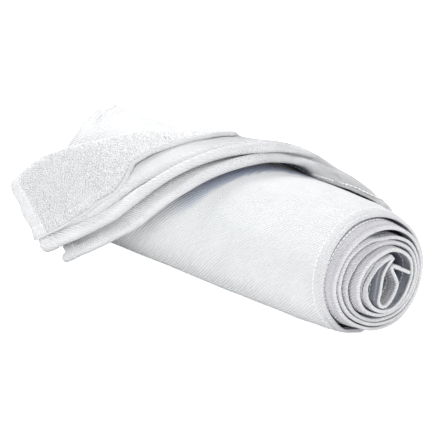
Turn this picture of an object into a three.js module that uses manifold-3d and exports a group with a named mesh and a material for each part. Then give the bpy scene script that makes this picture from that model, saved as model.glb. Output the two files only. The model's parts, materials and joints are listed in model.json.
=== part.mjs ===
// Rolled sports towel in white cloth, millimetres, +Z up.
// X runs along the roll: the spiral end faces +X, and the loose end lies over the front (-Y) side.
// The roll is one wound form, and its last stretch of cloth comes up from behind,
// narrows into a band folded in five plies, crosses the top slantwise and drops to the floor.
import * as THREE from "three";
import { mergeVertices } from "three/addons/utils/BufferGeometryUtils.js";
import Module from "manifold-3d";

// Main sizes
const TOWEL_WIDTH = 300;
const HALF_WIDTH = TOWEL_WIDTH / 2;
const ROLL_RADIUS = 45;
const CLOTH = 2.6;
const PLY_PITCH = 4.4;
const FLAT_SPOT_Z = 0.6;
const ROLL_SIDES = 48;
const ARC_PER_DEGREE = (Math.PI / 180) * ROLL_RADIUS;

// Body of the roll from the spiral end to the far end:
// distance along the roll, half width, half height, sideways shift, centre height
const BODY = [
  [0, 42.5, 38, -1, 46],
  [7, 44, 40.5, -1, 45.5],
  [22, 45, 43, 0, 45],
  [55, 45.5, 44.5, 0, 45],
  [110, 45.5, 45, 0, 45],
  [170, 45, 45, 0, 45],
  [225, 45, 45, 0, 45],
];

// Turns that stand out of the spiral end, from the core loop outwards:
// how far they stand out, half width, half height
const SPIRAL_STEPS = [
  [10, 5, 12],
  [21, 6, 13],
  [21, 8.5, 15.5],
  [13, 9.5, 16.5],
  [13, 16.5, 16],
  [21.5, 17.2, 16.8],
  [21.5, 20, 19],
  [16, 21, 20],
  [16, 22.6, 21.4],
  [20.5, 23, 21.8],
  [20.5, 25.6, 24],
  [9, 26.6, 25],
  [9, 28, 26.4],
  [13, 28.2, 26.6],
  [13, 30.4, 28.6],
  [8, 31.2, 29.4],
  [11.5, 32, 30],
  [11.5, 34.2, 32],
  [5, 35, 32.6],
  [9.7, 35.4, 33],
  [9.7, 38, 35.2],
  [-5, 38.8, 35.6],
  [0, 39.8, 36.2],
];

// Far end: the outer turn's edge runs slantwise, and the turns inside end short of it.
const FAR_EDGE = [
  [-100, 262],
  [-60, 262],
  [0, 261],
  [30, 259],
  [53, 257],
  [84, 275],
  [118, 297],
  [160, 299],
  [235, 298],
  [260, 262],
];
const INNER_FAR_EDGE = [
  [-100, 276],
  [50, 275],
  [70, 280],
  [98, 288],
  [118, 290],
  [235, 289],
  [260, 276],
];
const CORE_FAR_EDGE = 284;
const TURN_STEP = 3.6;
// How far the turns inside lie back from the edge round them, and their radius, down to the
// hollow of the core
const FAR_DISH = [
  [1.5, 36],
  [4.5, 28],
  [7.5, 21],
  [9.5, 16],
  [11, 14],
  [20, 12],
  [21, 6],
];

// Stations of the loose end, from where it leaves the roll to its short hem.
// A row is: distance along the roll, angle over it (0 front, 90 top), height above it.
const LOWER_FOLD = [
  [24, 262, -1.6],
  [25, 228, 0.6],
  [26, 192, 2.4],
  [28, 157, 2.8],
  [30, 128, 3.4],
  [36, 108, 4.6],
  [52, 96, 6],
  [76, 87, 7],
  [101, 75, 6],
  [123, 56, 4],
  [145, 30, 3.2],
  [176, -3, 3.4],
  [208, -30, 6.5],
  [240, -55, 15],
];
const FRONT_ROLL = [
  [54, 262, -1.6],
  [56, 229, 0.6],
  [60, 193, 2.6],
  [64, 160, 3.6],
  [68, 133, 6],
  [72, 116, 8.5],
  [81, 103, 11.5],
  [92, 95, 13.5],
  [103, 84, 14],
  [120, 68, 13.5],
  [144, 43, 13],
  [174, 16, 13.5],
  [209, -11, 14],
  [263, -48, 15],
];
const BACK_FOLD = [
  [262, 262, -1.6],
  [236, 236, 0.8],
  [206, 208, 2.5],
  [180, 180, 4],
  [162, 150, 5.5],
  [154, 126, 6.5],
  [154, 108, 7],
  [166, 92, 6.5],
  [186, 78, 5.5],
  [208, 64, 6],
  [228, 49, 6.5],
  [250, 36, 7.5],
  [275, 22, 8.5],
  [303, -2, 10],
];
// Ply lengths at each station: the ply turned under, the pleat's overlap, the flap on top,
// and the thickness of the front roll
const PLIES = [
  [0, 0, 0, 0],
  [6, 0, 0, 0],
  [12, 0, 0, 0],
  [18, 0, 0, 0],
  [24, 0, 0, 0],
  [28, 2, 0, 1],
  [31, 6, 5, 3],
  [34, 12, 20, 6],
  [36, 18, 35, 8],
  [37, 24, 50, 9],
  [38, 30, 46, 10],
  [40, 36, 60, 11],
  [42, 40, 61, 12],
  [44, 44, 54, 12],
];
const BAND_STATIONS = 28;
const SECTION_POINTS = 44;
const FOLD_WEIGHT = 7;
// How far the section's corners are softened where the folds begin, and where they are pressed
const SOFT_FOLD = 5;
const PRESSED_FOLD = 1.6;

const clothMaterial = new THREE.MeshStandardMaterial({
  color: 0xf3f4f6,
  roughness: 0.95,
  metalness: 0,
});

// Value of a table's columns at a place given in its first column
function tableAt(table, x) {
  let i = 0;
  while (i < table.length - 2 && x > table[i + 1][0]) i++;
  const [a, b] = [table[i], table[i + 1]];
  const f = THREE.MathUtils.clamp((x - a[0]) / (b[0] - a[0]), 0, 1);
  const soft = f * f * (3 - 2 * f);
  return a.map((value, k) => value + (b[k] - value) * soft);
}

// Mesh of closed loops with the same number of points, joined in turn, open at both ends
function loftFaces(loops, closeStart, closeEnd) {
  const n = loops[0].length;
  const positions = loops.flat().flatMap((p) => [p.x, p.y, p.z]);
  const index = [];
  for (let r = 0; r < loops.length - 1; r++) {
    for (let i = 0; i < n; i++) {
      const j = (i + 1) % n;
      const [a, b] = [r * n + i, r * n + j];
      const [c, d] = [a + n, b + n];
      index.push(a, c, b, b, c, d);
    }
  }
  closeStart(index, 0, n, positions);
  closeEnd(index, (loops.length - 1) * n, n, positions);
  const geometry = new THREE.BufferGeometry();
  geometry.setAttribute("position", new THREE.Float32BufferAttribute(positions, 3));
  geometry.setIndex(index);
  return geometry;
}

// Closes a loop with a fan to its middle
function fan(facing) {
  return (index, first, n, positions) => {
    const middle = new THREE.Vector3();
    for (let i = 0; i < n; i++) {
      middle.add(new THREE.Vector3().fromArray(positions, 3 * (first + i)));
    }
    middle.divideScalar(n);
    const tip = positions.length / 3;
    positions.push(middle.x, middle.y, middle.z);
    for (let i = 0; i < n; i++) {
      const j = (i + 1) % n;
      if (facing > 0) index.push(tip, first + i, first + j);
      else index.push(tip, first + j, first + i);
    }
  };
}

// Closes a flat strip's loop straight across, from its upper to its lower side
function strip(facing) {
  return (index, first, n) => {
    for (let i = 0; i < n / 2 - 1; i++) {
      const [a, b] = [first + i, first + i + 1];
      const [c, d] = [first + n - 1 - i, first + n - 2 - i];
      if (facing > 0) index.push(a, b, c, b, d, c);
      else index.push(a, c, b, b, c, d);
    }
  };
}

// One ring of the roll: along(angle) gives its place, half(angle) its half sizes and centre
function rollRing(along, half) {
  const ring = [];
  for (let i = 0; i < ROLL_SIDES; i++) {
    const degrees = 262 - (360 * i) / ROLL_SIDES;
    const angle = THREE.MathUtils.degToRad(degrees);
    const [wide, tall, side, centre] = half(degrees);
    ring.push(
      new THREE.Vector3(
        HALF_WIDTH - along(degrees),
        side - wide * Math.cos(angle),
        centre + tall * Math.sin(angle),
      ),
    );
  }
  return ring;
}

// The wound form, with the turns that stand out of its spiral end and the slanting far edge
function rollGeometry() {
  const rings = SPIRAL_STEPS.map(([out, wide, tall]) => {
    const lift = 1.3 * THREE.MathUtils.smoothstep(out, 0, 9);
    return rollRing(() => -out, () => [wide, tall, -1 - lift, 46 + lift]);
  });
  for (const [along, wide, tall, side, centre] of BODY) {
    rings.push(rollRing(() => along, () => [wide, tall, side, centre]));
  }
  const edge = (degrees) => tableAt(FAR_EDGE, degrees)[1];
  const round = (radius) => () => [radius, radius, 0, ROLL_RADIUS];
  rings.push(rollRing((d) => edge(d) - 2, round(ROLL_RADIUS)));
  rings.push(rollRing(edge, round(ROLL_RADIUS - 1)));
  rings.push(rollRing(edge, round(ROLL_RADIUS - TURN_STEP)));
  const innerEdge = (degrees) => tableAt(INNER_FAR_EDGE, degrees)[1];
  rings.push(rollRing(innerEdge, round(ROLL_RADIUS - TURN_STEP - 0.9)));
  for (const [back, radius] of FAR_DISH) {
    const slant = radius / (ROLL_RADIUS - TURN_STEP);
    const place = (d) => THREE.MathUtils.lerp(CORE_FAR_EDGE, innerEdge(d), slant) - back;
    rings.push(rollRing(place, round(radius)));
  }
  return loftFaces(rings, fan(1), fan(-1));
}

// A place given along and around the roll and above it; below the front it hangs straight
function onRoll(along, arc, height) {
  const degrees = arc / ARC_PER_DEGREE;
  if (degrees < 0) {
    return new THREE.Vector3(HALF_WIDTH - along, -(ROLL_RADIUS + height), ROLL_RADIUS + arc);
  }
  const angle = THREE.MathUtils.degToRad(degrees);
  const radius = ROLL_RADIUS + height;
  return new THREE.Vector3(
    HALF_WIDTH - along,
    -radius * Math.cos(angle),
    ROLL_RADIUS + radius * Math.sin(angle),
  );
}

// Smooth curve through a station table, with its angles turned into arc lengths
function stationCurve(table) {
  const points = table.map(([s, degrees, h]) => new THREE.Vector3(s, degrees * ARC_PER_DEGREE, h));
  return new THREE.CatmullRomCurve3(points, false, "catmullrom", 0.5);
}

const lowerFold = stationCurve(LOWER_FOLD);
const frontRoll = stationCurve(FRONT_ROLL);
const backFold = stationCurve(BACK_FOLD);

function pliesAt(w) {
  const place = w * (PLIES.length - 1);
  return tableAt(PLIES.map((row, i) => [i, ...row]), place).slice(1);
}

// Point that lies a distance from a towards b, at a's height
function towards(a, b, distance) {
  const step = b.clone().sub(a).setZ(0).normalize();
  return a.clone().addScaledVector(step, distance);
}

// Half circle of cloth from a to b that bulges along a direction
function foldPoints(a, b, direction) {
  const middle = a.clone().add(b).multiplyScalar(0.5);
  const radius = a.distanceTo(b) / 2;
  const points = [];
  for (let i = 1; i <= 12; i++) {
    const turn = (Math.PI * i) / 12;
    const p = middle.clone().addScaledVector(a.clone().sub(middle), Math.cos(turn));
    points.push(p.addScaledVector(direction, radius * Math.sin(turn)));
  }
  return points;
}

// The back-and-forth line of the cloth across the loose end at w, from one long hem to the other
function foldedLine(w) {
  const low = lowerFold.getPoint(w);
  const roll = frontRoll.getPoint(w);
  const back = backFold.getPoint(w);
  const [under, overlap, flap, thick] = pliesAt(w);
  const share = (length) => THREE.MathUtils.smoothstep(length, 0, 8);
  const up = (p, d) => p.clone().add(new THREE.Vector3(0, 0, d));
  const lowRise = PLY_PITCH * share(under);
  const rollRise = thick * share(overlap);
  const pleatRise = PLY_PITCH * 0.9 * share(overlap);
  const flapRise = PLY_PITCH * share(flap);
  const lowOut = low.clone().sub(back).setZ(0).normalize();
  const rollOut = roll.clone().sub(back).setZ(0).normalize();
  const inward = rollOut.clone().negate();

  const underHem = towards(low, back, under);
  const pleat = towards(roll, back, overlap);
  pleat.z = roll.z - rollRise / 2 - PLY_PITCH * 0.8 * share(overlap);
  const reach = Math.min(flap / roll.clone().sub(back).setZ(0).length(), 1);
  const flapHem = towards(back, roll, flap);
  flapHem.z = THREE.MathUtils.lerp(back.z, roll.z + rollRise / 2, reach) + flapRise;

  const lowIn = low.clone().addScaledVector(lowOut, -lowRise / 2);
  const pleatIn = pleat.clone().addScaledVector(rollOut, pleatRise / 2);
  const rollIn = roll.clone().addScaledVector(rollOut, -rollRise / 2);
  const backIn = back.clone().addScaledVector(rollOut, flapRise / 2);
  return [
    underHem,
    lowIn,
    ...foldPoints(lowIn, up(lowIn, lowRise), lowOut),
    pleatIn,
    ...foldPoints(pleatIn, up(pleatIn, pleatRise), inward),
    up(rollIn, -rollRise / 2),
    ...foldPoints(up(rollIn, -rollRise / 2), up(rollIn, rollRise / 2), rollOut),
    backIn,
    ...foldPoints(backIn, up(backIn, flapRise), inward),
    flapHem,
  ];
}

// Points spaced evenly along a line
function evenPoints(points, spacing) {
  const path = new THREE.CurvePath();
  for (let i = 1; i < points.length; i++) {
    if (points[i].distanceTo(points[i - 1]) > 1e-3) {
      path.add(new THREE.LineCurve3(points[i - 1], points[i]));
    }
  }
  const count = Math.round(path.getLength() / spacing);
  return Array.from({ length: count + 1 }, (_, i) => path.getPointAt(i / count));
}

// Softens a line's corners over a distance, and holds its ends
function softened(points, spacing, distance) {
  const reach = Math.ceil((2.5 * distance) / spacing);
  return points.map((_, i) => {
    const sum = new THREE.Vector3();
    let total = 0;
    const room = Math.min(reach, i, points.length - 1 - i);
    for (let k = -room; k <= room; k++) {
      const weight = Math.exp(-0.5 * ((k * spacing) / distance) ** 2);
      sum.addScaledVector(points[i + k], weight);
      total += weight;
    }
    return sum.divideScalar(total);
  });
}

// A fixed number of points along a line, closer together where it turns
function sharedOut(points, count) {
  const along = [0];
  for (let i = 1; i < points.length; i++) {
    const step = points[i].clone().sub(points[i - 1]);
    const next = (points[i + 1] ?? points[i]).clone().sub(points[i]);
    const turn = next.lengthSq() > 0 ? step.angleTo(next) : 0;
    along.push(along[i - 1] + step.length() + FOLD_WEIGHT * turn);
  }
  const total = along[along.length - 1];
  const result = [];
  let i = 1;
  for (let k = 0; k < count; k++) {
    const target = (total * k) / (count - 1);
    while (i < points.length - 1 && along[i] < target) i++;
    const f = (target - along[i - 1]) / (along[i] - along[i - 1]);
    result.push(points[i - 1].clone().lerp(points[i], THREE.MathUtils.clamp(f, 0, 1)));
  }
  return result;
}

// The loose end: its folded line at each station, thickened to the cloth
function bandGeometry() {
  const lines = [];
  for (let r = 0; r < BAND_STATIONS; r++) {
    const w = r / (BAND_STATIONS - 1);
    const pressed = THREE.MathUtils.smoothstep(w, 0.33, 0.56);
    const softness = THREE.MathUtils.lerp(SOFT_FOLD, PRESSED_FOLD, pressed);
    const line = sharedOut(softened(evenPoints(foldedLine(w), 0.5), 0.5, softness), SECTION_POINTS);
    lines.push(line.map((p) => onRoll(p.x, p.y, p.z)));
  }
  const loops = lines.map((line, r) => {
    const before = lines[Math.max(r - 1, 0)];
    const after = lines[Math.min(r + 1, lines.length - 1)];
    const upper = [];
    const lower = [];
    line.forEach((p, i) => {
      const across = line[Math.min(i + 1, line.length - 1)].clone().sub(line[Math.max(i - 1, 0)]);
      const onward = after[i].clone().sub(before[i]);
      const normal = onward.cross(across).normalize();
      upper.push(p.clone().addScaledVector(normal, CLOTH / 2));
      lower.push(p.clone().addScaledVector(normal, -CLOTH / 2));
    });
    return [...upper, ...lower.reverse()];
  });
  return loftFaces(loops, strip(1), strip(-1));
}

// A mesh geometry as a solid, and back
function solidOf(wasm, geometry) {
  const merged = mergeVertices(geometry, 1e-4);
  const solid = new wasm.Manifold(
    new wasm.Mesh({
      numProp: 3,
      vertProperties: merged.getAttribute("position").array,
      triVerts: new Uint32Array(merged.getIndex().array),
    }),
  );
  return solid;
}

function geometryOf(solid) {
  const mesh = solid.getMesh();
  const geometry = new THREE.BufferGeometry();
  geometry.setAttribute("position", new THREE.BufferAttribute(mesh.vertProperties, 3));
  geometry.setIndex(new THREE.BufferAttribute(mesh.triVerts, 1));
  return geometry;
}

const wasm = await Module();
wasm.setup();
const roll = solidOf(wasm, rollGeometry());
const band = solidOf(wasm, bandGeometry());
const below = new THREE.BoxGeometry(600, 400, 40).translate(0, 0, FLAT_SPOT_Z - 20);
below.deleteAttribute("normal");
below.deleteAttribute("uv");
const whole = roll.add(band).subtract(solidOf(wasm, below));

const geometry = geometryOf(whole);
geometry.computeBoundingBox();
const box = geometry.boundingBox;
const centre = box.getCenter(new THREE.Vector3());
geometry.translate(-centre.x, -centre.y, -box.min.z);
geometry.computeVertexNormals();

const towel = new THREE.Mesh(geometry, clothMaterial);
towel.name = "towel";
const root = new THREE.Group();
root.add(towel);
export default root;
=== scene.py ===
"""Rolled sports towel in white terry cloth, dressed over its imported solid.

Forms are worked out in millimetres, in the solid's own place: X runs along the roll, the spiral
end faces +X, and the loose end lies over the front, -Y, side. A place is given along the roll
from its spiral end, by an angle over it (0 front, 90 top, 180 back) and by a height above it.
Every mesh is made in metres, in the frame's own place.
"""

import functools
import json
import math

import bpy
import numpy as np
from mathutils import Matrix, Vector, noise


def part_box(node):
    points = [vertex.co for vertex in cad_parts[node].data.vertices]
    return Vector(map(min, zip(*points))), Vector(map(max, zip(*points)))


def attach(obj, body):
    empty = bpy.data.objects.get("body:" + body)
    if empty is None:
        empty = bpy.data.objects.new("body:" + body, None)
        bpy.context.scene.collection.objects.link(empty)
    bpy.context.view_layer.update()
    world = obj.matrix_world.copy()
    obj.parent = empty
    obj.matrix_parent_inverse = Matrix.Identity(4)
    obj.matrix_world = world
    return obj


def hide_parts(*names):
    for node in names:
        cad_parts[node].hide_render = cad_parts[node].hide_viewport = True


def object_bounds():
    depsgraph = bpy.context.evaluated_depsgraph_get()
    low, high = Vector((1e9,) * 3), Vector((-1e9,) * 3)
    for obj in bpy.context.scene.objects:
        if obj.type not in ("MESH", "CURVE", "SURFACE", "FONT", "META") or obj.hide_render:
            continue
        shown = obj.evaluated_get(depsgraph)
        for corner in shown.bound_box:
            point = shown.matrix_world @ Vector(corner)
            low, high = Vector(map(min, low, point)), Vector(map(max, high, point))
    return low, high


bl_info = {
    "name": "Rolled towel",
    "version": (1, 0, 0),
    "blender": (4, 5, 0),
    "location": "View3D > Sidebar > Towel",
    "description": "Makes a rolled terry towel with a folded loose end, and its stage",
    "category": "Add Mesh",
}

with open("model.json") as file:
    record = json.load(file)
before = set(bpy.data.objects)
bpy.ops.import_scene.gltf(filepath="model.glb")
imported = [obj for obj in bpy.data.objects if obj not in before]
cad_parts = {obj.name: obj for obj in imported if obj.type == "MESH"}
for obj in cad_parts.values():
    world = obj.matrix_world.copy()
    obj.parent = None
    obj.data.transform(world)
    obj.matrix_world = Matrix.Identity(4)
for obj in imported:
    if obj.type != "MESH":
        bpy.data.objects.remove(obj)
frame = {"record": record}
CAD_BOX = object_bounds()

MM = 0.001

# Main sizes of the towel and of its roll: where along the towel its loose end begins, how high
# its flat spot lies and over which height the cloth eases off the floor, how far the farthest
# turn stands out of the spiral end, and the distance between plies
TOWEL_WIDTH = 300.0
TOWEL_LENGTH = 1600.0
LOOSE_FROM = 1200.0
HALF_WIDTH = TOWEL_WIDTH / 2
ROLL_RADIUS = 45.0
FLAT_SPOT_Z = 0.6
FLOOR_EASE = 1.5
FARTHEST_TURN = 21.5
ARC_PER_DEGREE = math.pi / 180 * ROLL_RADIUS
PLY_PITCH = 4.4

# Where the roll's own place lies in the frame: its spiral end and its axis over the resting spot
RESTING_SPOT = frame["record"]["mounts"][0]["pos_m"]
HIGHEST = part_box("towel")[1]
PLACE = np.array(
    (HIGHEST.x / MM - HALF_WIDTH - FARTHEST_TURN, RESTING_SPOT[1] / MM, -FLAT_SPOT_Z)
)

# Spiral end, seen from +X: its middle, and the angle wound where the roll ends. The core is a
# short stretch that starts at the towel's inner short hem: how far right and above the middle
# each point lies, and how far it stands out.
SPIRAL_MIDDLE = (-1.0, 46.5)
LAST_ANGLE = 1978.0
CORE = (
    (15.4, 0.9, 19.0), (9.2, 4.3, 20.0), (3.5, 7.4, 20.5), (-0.9, 9.4, 21.0), (-1.2, 7.0, 21.0),
    (1.4, 2.3, 21.0), (3.4, -2.9, 21.0), (2.1, -7.3, 21.0), (-0.9, -11.7, 21.0),
    (-4.2, -14.9, 21.0), (-8.1, -16.4, 21.0), (-12.0, -14.1, 21.0), (-12.9, -10.2, 21.0),
    (-11.6, -5.4, 21.0), (-10.8, -0.6, 21.0), (-9.4, 5.2, 21.0), (-6.8, 9.3, 21.0),
    (-3.5, 12.5, 21.0), (-0.9, 14.9, 21.0),
)
# Each turn from its top over the front, the underside and the back, at every 30 degrees:
# its radii, and how far its edge stands out
TURN_STEP = 30.0
TURN_RADII = (
    (16.0, 15.7, 17.5, 21.3, 21.8, 21.2, 20.1, 17.6, 16.1, 17.0, 18.6, 18.6),
    (19.2, 20.0, 23.7, 26.9, 26.9, 24.5, 23.4, 23.6, 24.2, 25.3, 24.8, 22.3),
    (21.5, 22.4, 26.0, 30.1, 30.3, 29.2, 29.1, 30.6, 30.9, 31.0, 29.3, 25.9),
    (24.4, 27.3, 32.3, 34.7, 33.5, 31.7, 32.4, 34.8, 35.0, 34.5, 33.2, 31.3),
    (30.8, 32.2, 35.4, 38.3, 37.0, 35.1, 36.3, 39.5, 41.2, 41.4, 39.1, 36.9),
    (37.3, 39.3, 40.1, 41.5, 41.4, 40.0, 40.5),
)
TURN_OUT = (
    (20.6, 20.4, 20.1, 19.7, 19.3, 19.0, 19.0, 19.0, 19.0, 19.0, 18.9, 18.8),
    (18.5, 18.3, 18.1, 17.8, 17.2, 16.5, 15.9, 15.2, 14.5, 13.7, 12.9, 12.1),
    (11.8, 11.3, 11.0, 10.6, 10.3, 10.1, 10.0, 10.0, 10.0, 10.0, 10.0, 10.0),
    (9.9, 9.7, 9.5, 9.3, 9.0, 9.0, 9.0, 9.0, 9.0, 9.0, 9.0, 9.0),
    (8.8, 8.6, 8.4, 8.1, 7.9, 7.3, 6.6, 5.5, 3.9, 2.5, 1.5, 0.7),
    (0.2, 0.0, 0.0, 0.0, 0.0, 0.0, -1.0),
)
# The roll fills out from the spiral end inwards: distance along it, and share of the growth
FILLING = ((0, 0), (7, 0.36), (22, 0.72), (55, 0.93), (110, 1))
# Inside the roll the last turn rounds out: its starting and its full radius, and the angles
# wound between which it climbs over its own start
ROUND_RADIUS = (40.2, 43.9)
ROUNDING = (1618.0, 1750.0)
# Each turn widens behind its rim: how far its middle stays from that of the turn outside it, the
# angles wound over which this begins and ends, those between which a turn stays narrow and leaves
# a wedge, and the share of the room between turns that is taken elsewhere, by angle
CLOSE_PITCH = 2.3
WIDENS_FROM = (0, 60)
WIDENS_TO = (LAST_ANGLE - 410, LAST_ANGLE - 365)
WEDGE = (985.0, 1020.0, 1085.0, 1110.0)
CLOSING = ((0, 0.75), (30, 0.9), (95, 0.9), (130, 0.25), (200, 0.3), (330, 0.3), (360, 0.75))
# Half width and half height of the roll at the spiral end, and its middle there
END_HALF_SIZES = (42.6, 39.2)
END_CENTRE = (-1.0, 46.0)

# Far hem of the inner turns: angle over the roll and distance along it, and how far the turns
# inside lie back from there, by angle wound since the first turn's top
INNER_FAR_HEM = (
    (-100, 276), (50, 275), (70, 280), (98, 288), (118, 290), (235, 289), (260, 276),
)
INNER_DISH = ((-200, 15), (0, 9), (360, 6.5), (720, 4.5), (1080, 3), (1440, 1.2), (1560, 0))
# Far hem of the last turns: angle wound, and distance along the roll
FAR_HEM = (
    (1500, 276), (1616, 279), (1645, 298), (1762, 297), (1796, 275), (1827, 257), (1850, 259),
    (1880, 261), (1978, 262),
)
# Angles wound between which the far hem passes from that of the inner turns to the last ones
LAST_TURNS = (1500.0, 1560.0)

# Stations of the loose end, from where it leaves the roll to its short hem:
# distance along the roll, angle over it, height above it
LOWER_FOLD = (
    (8, 262, -1.1), (14, 228, 0.6), (20, 192, 2.4), (26, 157, 3.5), (39, 128, 6.5),
    (56, 114, 7.8), (82, 105, 6.4), (97, 93, 4.8), (107, 75, 4.5), (122, 52.5, 4.8),
    (140, 29.5, 5.8), (170, -1, 7.4), (203, -27, 8.5), (239, -55, 13.4),
)
FRONT_ROLL = (
    (54, 262, -1.1), (56, 229, 0.6), (60, 193, 2.6), (64, 160, 5), (70, 133, 9.5),
    (76, 116, 13.2), (84, 103, 14.8), (93, 95, 15.2), (104, 84, 15), (120, 68, 14.8),
    (144, 43, 14.5), (173, 14.5, 14.2), (209, -15, 14), (262, -53, 15.5),
)
BACK_FOLD = (
    (262, 262, -1.1), (236, 236, 0.8), (206, 208, 2.5), (180, 180, 4), (164, 150, 6),
    (157, 126, 7.5), (157, 108, 7.6), (167, 92, 6.6), (186, 78, 5.2), (208, 64, 6),
    (228, 49, 6.5), (250, 36, 7.5), (275, 22, 8.5), (300, -2, 10),
)
# Near long hem where it comes off the roll and tucks itself under the lower fold: station,
# distance along the roll, angle over it, height above it
NEAR_HEM = (
    (3, 26, 157, 3.5), (4, 29, 134, 1.4), (5, 48, 118, 0.8), (5.7, 77, 117, 0.8),
    (6.3, 98, 133, 1.6), (7, 115, 120, 2), (8, 130, 97, 2.4), (9, 147, 69, 2.4),
    (10, 168, 46, 2.4), (11, 201, 17, 2.4), (12, 238, -10, 3), (13, 279, -38, 8),
)
# Long hem of the flap on top: station, distance along the roll, angle over it, height above it
FLAP_HEM = (
    (6.2, 151, 104, 10.8), (6.8, 144.5, 95.5, 12.3), (7.8, 148.5, 78.6, 14.2),
    (8.6, 156.7, 66.8, 15), (9.4, 166, 56.8, 15.5), (10, 175.2, 47.7, 16),
    (10.4, 182.5, 38.8, 16.5), (10.8, 182.1, 27.2, 17), (11.05, 186.3, 17.8, 17.5),
    (11.5, 202.3, 7.8, 17.8), (12, 223.2, -8.6, 18), (12.5, 245.3, -26.9, 18.2),
    (13, 269.8, -45.2, 18.5),
)
# Stations over which the flap begins
FLAP_FROM = (5.4, 6.6)
# Lengths at each station: the rise of the lower fold, the pleat's overlap, the thickness of the
# front roll, how far behind its front the crease lies, and the crease's depth
PLIES = (
    (0, 0, 0, 0, 0), (0, 0, 0, 0, 0), (0, 0, 0, 0, 0), (0, 0, 0, 0, 0), (0, 0, 0, 0, 0),
    (1.5, 3, 2.5, 5, 0), (4, 8, 4, 6, 1), (6, 14, 5.5, 7, 3.5), (6.5, 20, 6.5, 7.5, 6),
    (6.5, 24, 7, 8, 7), (6, 30, 7, 8.5, 7), (5.5, 36, 8, 10, 6), (5.5, 40, 8, 11, 5),
    (5.5, 44, 8, 11, 4),
)
# Stations between which the lower plies come down to the roll behind the lower fold; how far
# behind it each of them is down, and their heights there
PLIES_REST = (5.9, 6.7)
LIFT_LENGTH = 10.0
UNDER_LENGTH = 24.0
RESTING_HEIGHT = 3.6
UPPER_STEP = 4.2
# Stations between which the near hem leaves the lower fold; the overlap at which the pleat is
# full, and its rise and drop as shares of the ply pitch; how far behind the crease the cloth is up
# again, and by which share of its depth; the share of a fold below which it is left out
HEM_LEAVES = (3, 4)
FULL_PLEAT = 8
PLEAT_RISE = 0.9
PLEAT_DROP = 0.8
CREASE_LENGTH = 3.5
CREASE_CLOSES = 0.75
LEFT_OUT = 0.01
# Rise of the flap's back fold, and how much more it rises where it swells at its end
FLAP_RISE = 3.5
FLAP_SWELL = 4.5
SWELLS = (11.4, 13.0)
# How far the section's corners are softened where the folds begin, and where they are pressed
SOFT_FOLD = 5.0
PRESSED_FOLD = 1.5
PRESSED_FROM = (0.33, 0.56)

# Soft dent in the roll's front: distance along the roll, angle over it, radius and depth, and the
# lengths along the towel over which it grows in the turns
DENT = (99.0, -13.0, 8.0, 2.6)
DENTED_TURNS = (500.0, 900.0)
# Small unevenness of the cloth: its depth in the roll and what the loose end has more, the lengths
# along the towel over which that comes, and its size across and along the towel
UNEVENNESS = (0.12, 0.25)
UNEVEN_FROM = (LOOSE_FROM - 250, LOOSE_FROM - 100)
UNEVEN_PATCH = (26, 30)

# Grid of the cloth: rows along the towel and columns from hem to hem; how much closer the rows
# lie in the tight core and over which length that ends; the spacing in which a section is worked
# out, how much a fold draws columns to it, and the distance over which a hem does
ROLL_ROWS = 290
LOOSE_ROWS = 150
COLUMNS = 110
CORE_ROWS = (1.1, 120.0)
SECTION_SPACING = 0.5
FOLD_WEIGHT = 6.0
HEM_WEIGHT = 9.0
# Columns that round a hem: distance from the edge, and share of the thickness
HEM_ROUND = ((0.0, 0.3), (0.25, 0.7), (0.7, 0.93), (1.3, 1.0), (2.0, 1.0), (2.8, 1.0))
# How far inside its strip a hem is sewn, the half width of the dip there and its share of the
# strip's relief; and how softly the strip ends. The looped face keeps its pile up to a bead along
# the edge: the bead's width and height, and the depth of the groove behind it.
SEAM_INSET = 1.2
SEAM_HALF_WIDTH = 0.9
SEAM_DEPTH = 0.9
STRIP_ENDS = (-0.6, 0.8)
BEAD_WIDTH = 1.6
BEAD_HEIGHT = 1.1
GROOVE_DEPTH = 0.8
# Short hem of the loose end: width of its turned strip, which is smooth on both faces, the depth
# and pitch of its puckers, the lengths along the towel where they begin and are full, and the
# share and size of the finer ones
END_HEM = 13.0
PUCKER_DEPTH = 0.9
PUCKER_PITCH = 19.0
PUCKERS_FROM = (TOWEL_LENGTH - 2.2 * END_HEM, TOWEL_LENGTH - 0.5 * END_HEM)
FINE_PUCKERS = (0.6, 4.1)

# Painted shade on the turns inside the roll, greyer than its outside: distances from the rim over
# which the painted shade begins and over which it deepens, lengths along the towel over which it
# ends towards the last turn, distances over which it ends towards the far half, and its colours on
# the smooth face, on the looped face, on the looped face deep inside and on the smooth face there
RIM_LIGHT = (0.6, 2.0)
DEEP_INSIDE = (9.0, 18.0)
INNER_TURNS = (960.0, 920.0)
SPIRAL_HALF = (180.0, 120.0)
FACE_PAINTED_SHADE = (0.82, 0.805, 0.835, 1.0)
GAP_PAINTED_SHADE = (0.66, 0.68, 0.76, 1.0)
DEEP_LOOPED_PAINTED_SHADE = (0.34, 0.4, 0.54, 1.0)
DEEP_SMOOTH_PAINTED_SHADE = (0.5, 0.55, 0.65, 1.0)

# Painted deep shade on the ply tucked under the lower fold: distances from the near hem over which
# it ends, lengths along the towel between which it begins and ends, and its colour
TUCKED_PLY = (26.0, 19.0)
TUCKED_FROM = (1382.0, 1396.0)
TUCKED_TO = (1560.0, 1500.0)
TUCKED_PAINTED_SHADE = (0.42, 0.47, 0.6, 1.0)
# Painted shadow on the roll just in front of the lower fold, a soft dark line: station, its width
# and its strength; where it begins along the towel and under the fold, its colour, and the name of
# its map
FOLD_LINE = (
    (5.6, 2.0, 0.0), (6.1, 2.6, 1.0), (8.2, 3.0, 1.0), (9.0, 5.5, 0.9), (9.8, 9.0, 0.7),
    (10.6, 9.0, 0.0),
)
FOLD_LINE_FROM = 900.0
FOLD_LINE_UNDER = (-14.0, -8.0)
FOLD_PAINTED_SHADOW = (0.4, 0.45, 0.58, 1.0)
FOLD_LINE_MAP = "fold_shade"
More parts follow.
